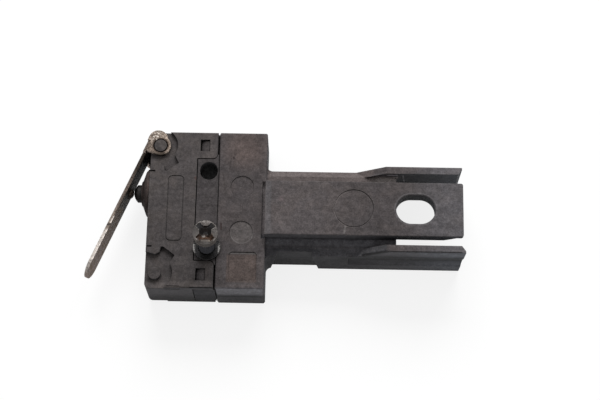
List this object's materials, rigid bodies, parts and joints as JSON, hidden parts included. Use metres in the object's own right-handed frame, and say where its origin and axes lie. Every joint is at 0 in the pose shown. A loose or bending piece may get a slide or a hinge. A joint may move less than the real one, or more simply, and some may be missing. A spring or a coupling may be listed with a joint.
{
  "type": "micro switch with lever and bracket",
  "caption": "Flat sealed micro switch with a long hinged steel lever and a small plunger, seated in a moulded bracket whose forked arm has a slotted fixing hole.",
  "frame": {"origin": "middle of the bracket block's back face", "axes": "+X from the switch along the arm, +Y toward the end that carries the lever, +Z out of the front face"},
  "size_m": [0.0462, 0.0203, 0.0128],
  "materials": {
    "bracket_black": "fine moulded grain, dusty",
    "cover_grey": "satin moulded, dusty",
    "base_grey": "satin moulded",
    "seal_resin": "cast resin",
    "boot_rubber": "dull rubber with a red-brown tint",
    "plunger_black": "smooth",
    "lever_steel": "worn plating with brown stain",
    "terminal_brass": "bright stamped",
    "contact_silver": "plain silver",
    "blade_bronze": "thin rolled strip",
    "spring_steel": "thin rolled strip",
    "screw_steel": "darkened, worn, rust in the recess",
    "washer_steel": "darkened"
  },
  "bodies": {
    "housing": {"mounting_bracket": "bracket_black", "switch_cover": "cover_grey", "switch_base": "base_grey", "terminal_seal": "seal_resin", "plunger_boot": "boot_rubber", "common_terminal": "terminal_brass", "open_terminal": "terminal_brass", "closed_terminal": "terminal_brass", "open_contact": "contact_silver", "closed_contact": "contact_silver", "fixing_screw": "screw_steel", "screw_washer": "washer_steel"},
    "lever": {"actuator_lever": "lever_steel"},
    "plunger": {"plunger": "plunger_black"},
    "blade": {"moving_blade": "blade_bronze", "moving_contact": "contact_silver", "snap_spring": "spring_steel"}
  },
  "joints": [
    {"name": "lever_hinge", "type": "hinge", "parent": "housing", "child": "lever", "pos_m": [-0.01027, 0.0082, 0.0032], "axis": [0, 0, 1], "range_deg": [0, 7], "stiffness_Nm_per_rad": 0.02, "springref_deg": -2.86},
    {"name": "plunger_slide", "type": "slide", "parent": "housing", "child": "plunger", "axis": [1, 0, 0], "range_m": [0, 0.00066], "deforming": ["snap_spring"]},
    {"name": "blade_hinge", "type": "hinge", "parent": "housing", "child": "blade", "pos_m": [-0.00716, 0.0079, 0.0032], "axis": [0, 0, 1], "range_deg": [0, 1.72]}
  ],
  "couplings": [
    {"joint": "plunger_slide", "follows": "lever_hinge", "m_per_rad": 0.00525},
    {"joint": "blade_hinge", "follows": "lever_hinge", "ratio": 0.245}
  ]
}
